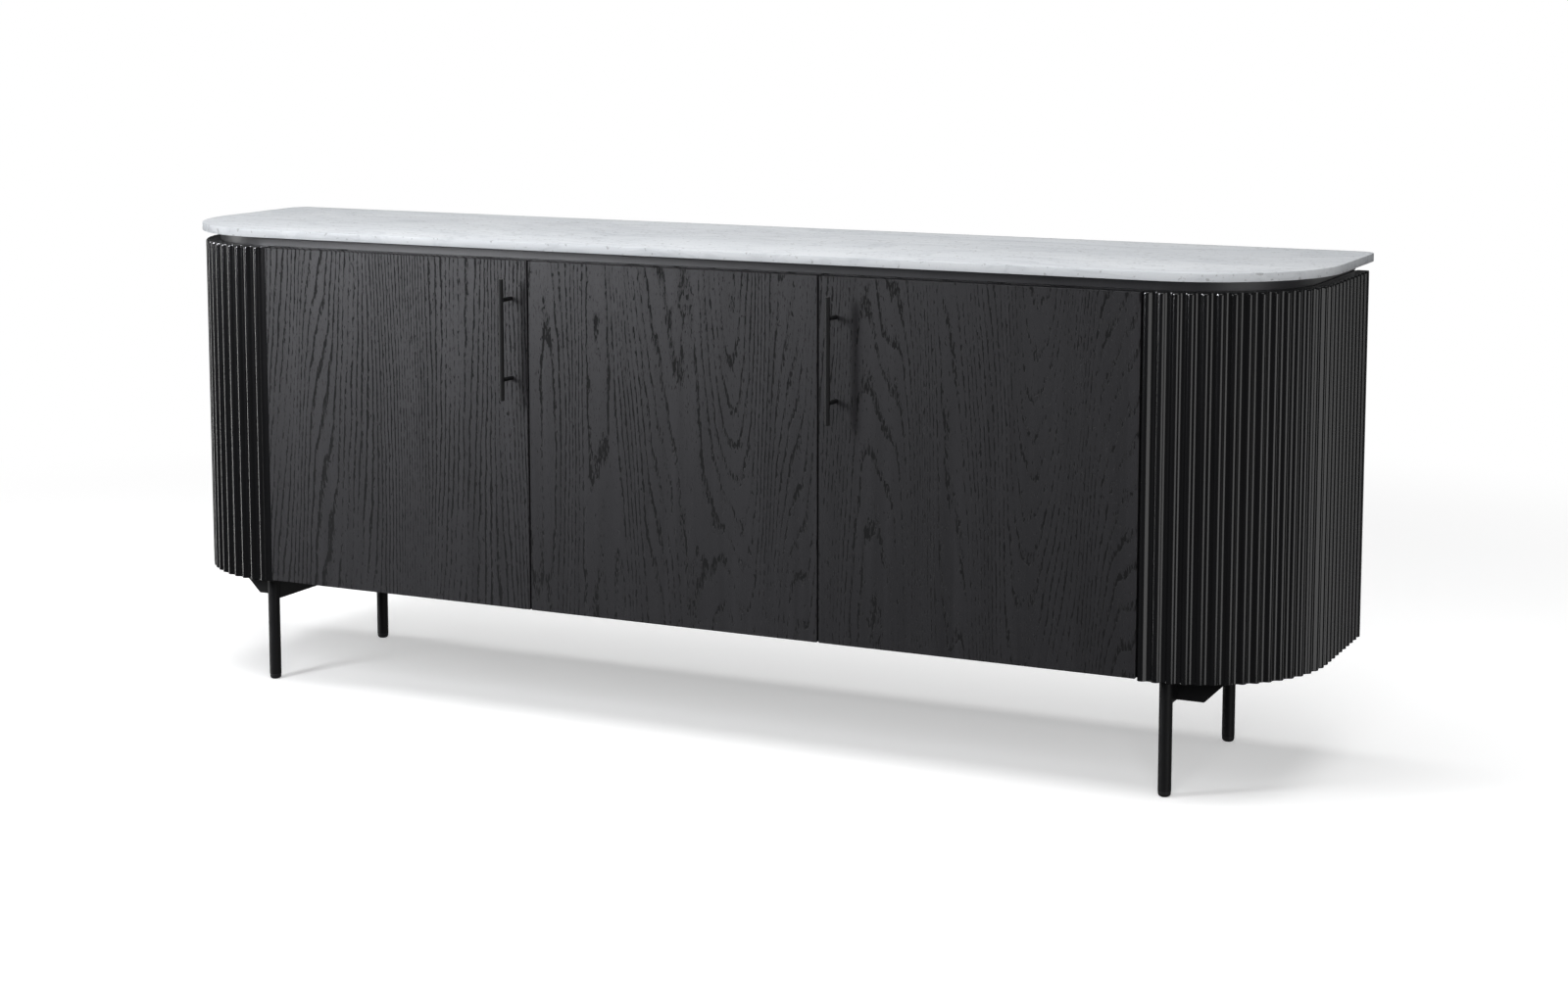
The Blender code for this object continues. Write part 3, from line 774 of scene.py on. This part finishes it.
def add_hinge_fittings(look, head):
    """A screwed tab above and below each hinge cup, two screws in its plate and two in its arm."""
    tab = plate_mesh("cup_tab", rounded_box_outline(*TAB_OUTLINE), TAB_THICKNESS)
    for door in DOORS:
        body = f"{door}_door"
        back_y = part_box(f"door_{door}")[1].y
        for level in LEVELS:
            cup = middle(f"hinge_cup_{door}_{level}")
            for word, dz in (("above", TAB_RISE), ("below", -TAB_RISE)):
                name = f"{door}_{level}_{word}"
                place = (cup.x, back_y, cup.z + dz)
                add_piece(f"cup_tab_{name}", tab, body, look, place, REARWARD)
                place = (cup.x, back_y + TAB_THICKNESS, cup.z + dz * TAB_SCREW_SHARE)
                spin = CUP_SCREW_SPIN + dz * CUP_SCREW_SPIN_RATE
                add_piece(f"cup_screw_{name}", head, body, look, place, REARWARD, spin)
            low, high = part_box(f"hinge_plate_{door}_{level}")
            arm_low, arm_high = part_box(f"hinge_arm_{door}_{level}")
            side = 1 if (arm_low.x + arm_high.x) > (low.x + high.x) else -1
            facing = (side, 0, 0)
            plate_x = high.x if side > 0 else low.x
            for word, dz in (("above", PLATE_SCREW_RISE), ("below", -PLATE_SCREW_RISE)):
                name = f"plate_screw_{door}_{level}_{word}"
                place = (plate_x, (low.y + high.y) / 2, cup.z + dz)
                spin = dz * PLATE_SCREW_SPIN_RATE
                add_piece(name, head, "cabinet", look, place, facing, spin)
            depth_y = high.y - ARM_SCREW_FROM_REAR
            side_y = low.y + ARM_SCREW_FROM_FRONT
            for word, y in (("depth", depth_y), ("side", side_y)):
                name = f"{word}_screw_{door}_{level}"
                place = (plate_x + side * ARM_SCREW_OUT, y, cup.z)
                add_piece(name, head, "cabinet", look, place, facing, y * ARM_SCREW_SPIN_RATE)


def add_handle_fittings(look):
    """A washer and a screw behind the door at each handle post."""
    head = screw_mesh("screw_large", *LARGE_HEAD)
    washer = turned_mesh("washer", WASHER)
    thickness = WASHER[-1][1]
    for door in ("left", "right"):
        body = f"{door}_door"
        back_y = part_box(f"door_{door}")[1].y
        for level in LEVELS:
            name = f"{door}_{level}"
            post = middle(f"handle_post_{name}")
            place = (post.x, back_y, post.z)
            add_piece(f"handle_washer_{name}", washer, body, look, place, REARWARD)
            place = (post.x, back_y + thickness, post.z)
            add_piece(f"handle_screw_{name}", head, body, look, place, REARWARD, HANDLE_SCREW_SPIN)


FLANGE_SCREW_INSET = 0.008
FLANGE_SCREW_SPREAD = 0.0072


def add_frame_screws(look):
    """A pair of screws under each leg frame's flange, beside each leg."""
    head = screw_mesh("screw_frame", *LARGE_HEAD)
    for side, sign in SIDES:
        low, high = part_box(f"leg_flange_{side}")
        x = sign * (max(abs(low.x), abs(high.x)) - FLANGE_SCREW_INSET)
        for end in ("front", "rear"):
            y = middle(f"leg_bracket_{end}_{side}").y
            for word, dy in (("outer", FLANGE_SCREW_SPREAD), ("inner", -FLANGE_SCREW_SPREAD)):
                name = f"flange_screw_{end}_{side}_{word}"
                spin = dy * FLANGE_SCREW_SPIN_RATE
                add_piece(name, head, "cabinet", look, (x, y + dy, low.z), DOWN, spin)


BACK_COLUMNS = 7
BACK_SIDE_INSET = 0.02
BACK_EDGE_INSET = 0.010
BACK_INNER_INSET = 0.19


def add_back_screws(look):
    """Screws along the back panel's upper and lower edges, and into the partitions."""
    head = screw_mesh("screw_flush", *FLUSH_HEAD)
    low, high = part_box("back_panel")
    between = high.x - low.x - 2 * BACK_SIDE_INSET
    places = []
    for i in range(BACK_COLUMNS):
        x = low.x + BACK_SIDE_INSET + between * i / (BACK_COLUMNS - 1)
        places += [(x, low.z + BACK_EDGE_INSET), (x, high.z - BACK_EDGE_INSET)]
    for partition in ("partition_left", "partition_right"):
        x = middle(partition).x
        places += [(x, low.z + BACK_INNER_INSET), (x, high.z - BACK_INNER_INSET)]
    for i, (x, z) in enumerate(places):
        name = f"back_screw_{i:02d}"
        spin = i * BACK_SCREW_SPIN
        add_piece(name, head, "cabinet", look, (x, high.y, z), REARWARD, spin)


EAR_INSET = 0.012
EAR_DROP = 0.0026
EAR_SCREW_SPREAD = 0.0125
RIVET_SPREAD = 0.0055


def add_latch_fittings(looks, head):
    """Screwed ears at both ends of the latch housing, and two rivets in its strike plate."""
    low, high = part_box("push_latch_body")
    x = (low.x + high.x) / 2
    z = high.z - EAR_DROP
    ear = plate_mesh("latch_ear", rounded_box_outline(*EAR_OUTLINE), EAR_THICKNESS)
    for word, y in (("front", low.y + EAR_INSET), ("rear", high.y - EAR_INSET)):
        add_piece(f"latch_ear_{word}", ear, "cabinet", looks["plastic"], (x, y, z))
        for hand, dx in (("left", -EAR_SCREW_SPREAD), ("right", EAR_SCREW_SPREAD)):
            name = f"latch_screw_{word}_{hand}"
            spin = y * LATCH_SCREW_SPIN_RATE
            add_piece(name, head, "cabinet", looks["nickel"], (x + dx, y, z), DOWN, spin)
    rear_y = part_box("push_latch_strike")[1].y
    center = middle("push_latch_strike")
    rivet = turned_mesh("strike_rivet", RIVET, RIVET_STEPS)
    for word, dz in (("upper", RIVET_SPREAD), ("lower", -RIVET_SPREAD)):
        place = (center.x, rear_y, center.z + dz)
        add_piece(f"strike_rivet_{word}", rivet, "center_door", looks["nickel"], place, REARWARD)


PIN_ROWS = (("front", 0.12), ("rear", 0.33))
PIN_DROP = 0.0042
HOLE_STEP = 0.032
SPARE_HOLES = (-3, -2, -1, 1, 2, 3)


def add_shelf_hardware(looks):
    """Four steel pins under each shelf, and sleeves in the panels' other pin holes."""
    pin = turned_mesh("shelf_pin", SHELF_PIN, SHELF_PIN_STEPS)
    sleeve = turned_mesh("hole_sleeve", SLEEVE, SLEEVE_STEPS)
    face_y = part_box("door_center")[0].y
    bays = (
        ("left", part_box("end_panel_left")[1].x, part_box("partition_left")[0].x),
        ("center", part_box("partition_left")[1].x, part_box("partition_right")[0].x),
        ("right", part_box("partition_right")[1].x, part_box("end_panel_right")[0].x),
    )
    for bay, low_x, high_x in bays:
        pin_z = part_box(f"shelf_{bay}")[0].z - PIN_DROP
        for hand, x, side in (("low", low_x, 1), ("high", high_x, -1)):
            facing = (side, 0, 0)
            for row, depth in PIN_ROWS:
                y = face_y + depth
                name = f"{bay}_{hand}_{row}"
                place = (x, y, pin_z)
                add_piece(f"shelf_pin_{name}", pin, "cabinet", looks["nickel"], place, facing)
                for step in SPARE_HOLES:
                    sleeve_name = f"pin_sleeve_{name}_{step - SPARE_HOLES[0]}"
                    place = (x, y, pin_z + step * HOLE_STEP)
                    add_piece(sleeve_name, sleeve, "cabinet", looks["plastic"], place, facing)


BUMPER_SIDE_INSET = 0.055
BUMPER_TOP_INSET = 0.009
BUMPER_FOOT_INSET = 0.007


def add_bumpers(look):
    """Soft buttons behind each door's free corners, which meet the carcass's front edge."""
    button = turned_mesh("door_bumper", BUMPER, BUMPER_STEPS)
    for door in DOORS:
        low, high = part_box(f"door_{door}")
        hinge_x = middle(f"hinge_cup_{door}_lower").x
        if hinge_x < (low.x + high.x) / 2:
            x = high.x - BUMPER_SIDE_INSET
        else:
            x = low.x + BUMPER_SIDE_INSET
        levels = (("upper", high.z - BUMPER_TOP_INSET), ("lower", low.z + BUMPER_FOOT_INSET))
        for word, z in levels:
            name = f"door_bumper_{door}_{word}"
            add_piece(name, button, f"{door}_door", look, (x, high.y, z), REARWARD)


# ---------------------------------------------------------------- stage and lights

FLOOR_SIZE = 40.0
FLOOR_ROUGH = 0.9
FLOOR_GLOW = 0.36
GLOW_START = 1.3
GLOW_FULL = 3.0
PAPER_DARK = (0.88, 0.88, 0.88)
PAPER_PALE = (0.90, 0.90, 0.90)


def make_stage():
    """A pale paper floor that runs out to plain white."""
    mesh = bpy.data.meshes.new("floor")
    s = FLOOR_SIZE
    mesh.from_pydata([(-s, -s, 0), (s, -s, 0), (s, s, 0), (-s, s, 0)], [], [(0, 1, 2, 3)])
    floor = bpy.data.objects.new("floor", mesh)
    g = Graph("floor_paper")
    distance = g.node("ShaderNodeVectorMath", {0: g.place}, operation="LENGTH").outputs["Value"]
    far = g.remap(distance, GLOW_START, GLOW_FULL, smooth=True)
    paper = g.blend(g.spread(g.noise(g.place, scale=260.0)), PAPER_DARK, PAPER_PALE)
    g.finish(g.blend(far, paper, BLACK), FLOOR_ROUGH, specular=0.0)
    g.feed(g.shader.inputs["Emission Strength"], g.remap(far, 0.0, 1.0, FLOOR_GLOW, 1.0))
    g.feed(g.shader.inputs["Emission Color"], WHITE)
    mesh.materials.append(g.material)
    floor.visible_diffuse = False
    floor.visible_glossy = False
    floor.visible_shadow = False
    bpy.context.scene.collection.objects.link(floor)


COOL_WHITE = (0.95, 0.96, 1.0)
STUDIO_WHITE = (0.97, 0.98, 1.0)

# Each lamp's name, place, aim, width and height, watts and colour.
LAMPS = (
    ("left_softbox", (-1.6, -1.9, 1.5), (-0.5, -0.2, 0.5), (0.5, 1.3), 79, COOL_WHITE),
    ("left_fill", (-1.35, -1.95, 1.45), (-0.5, -0.2, 0.5), (0.5, 1.4), 30, STUDIO_WHITE),
    ("front_fill", (1.6, -3.6, 1.5), (0.7, -0.2, 0.6), (2.0, 1.2), 66, WHITE),
    ("far_left_softbox", (-3.0, -0.5, 0.4), (-1.0, -0.1, 0.4), (0.4, 2.6), 21, WHITE),
    ("right_softbox", (3.2, -1.4, 0.4), (0.9, -0.1, 0.4), (1.9, 2.6), 16.5, WHITE),
    ("rear_softbox", (2.9, 3.2, 0.4), (1.0, 0.1, 0.4), (3.2, 3.2), 12, WHITE),
    ("top_softbox", (0.0, -0.3, 3.6), (0.0, 0.0, 0.0), (4.8, 3.2), 131, WHITE),
)
# The left light is split in two. A highlight lamp shows only in reflections, and a plain lamp
# never does.
HIGHLIGHT_LAMPS = ("left_softbox",)
PLAIN_LAMPS = ("left_fill", "front_fill")

AROUND_STRENGTH = 0.05
MIRRORED_STRENGTH = 0.04
SEEN_STRENGTH = 1.0


def make_lamps():
    for name, place, aim, size, watts, color in LAMPS:
        data = bpy.data.lights.new(name, "AREA")
        data.shape = "RECTANGLE"
        data.size, data.size_y = size
        data.energy = watts
        data.color = color
        lamp = bpy.data.objects.new(name, data)
        lamp.location = place
        lamp.rotation_euler = (Vector(aim) - Vector(place)).to_track_quat("-Z", "Y").to_euler()
        lamp.visible_camera = False
        lamp.visible_diffuse = name not in HIGHLIGHT_LAMPS
        lamp.visible_glossy = name not in PLAIN_LAMPS
        bpy.context.scene.collection.objects.link(lamp)


def make_world():
    """A faint studio all round, dimmer in reflections, and a plain white backdrop."""
    world = bpy.data.worlds.new("studio")
    bpy.context.scene.world = world
    world.use_nodes = True
    tree = world.node_tree
    tree.nodes.clear()

    def background(strength, color):
        made = tree.nodes.new("ShaderNodeBackground")
        made.inputs["Strength"].default_value = strength
        made.inputs["Color"].default_value = (*color, 1.0)
        return made.outputs[0]

    def choose(factor, no, yes):
        mix = tree.nodes.new("ShaderNodeMixShader")
        for target, source in zip(mix.inputs, (factor, no, yes)):
            tree.links.new(source, target)
        return mix.outputs[0]

    rays = tree.nodes.new("ShaderNodeLightPath").outputs
    around = background(AROUND_STRENGTH, STUDIO_WHITE)
    mirrored = background(MIRRORED_STRENGTH, STUDIO_WHITE)
    seen = background(SEEN_STRENGTH, WHITE)
    light = choose(rays["Is Glossy Ray"], around, mirrored)
    light = choose(rays["Is Camera Ray"], light, seen)
    output = tree.nodes.new("ShaderNodeOutputWorld")
    tree.links.new(light, output.inputs["Surface"])


materials = make_materials()
looks = {name: (materials[name], slot) for name, slot in LOOK_SLOTS.items()}
make_camera()
finish_nodes(materials)
for side, sign in SIDES:
    fluted_corner(side, sign, looks["satin_lacquer"])
add_fittings(looks)
make_stage()
make_lamps()
make_world()
bpy.context.scene.view_settings.view_transform = "Standard"
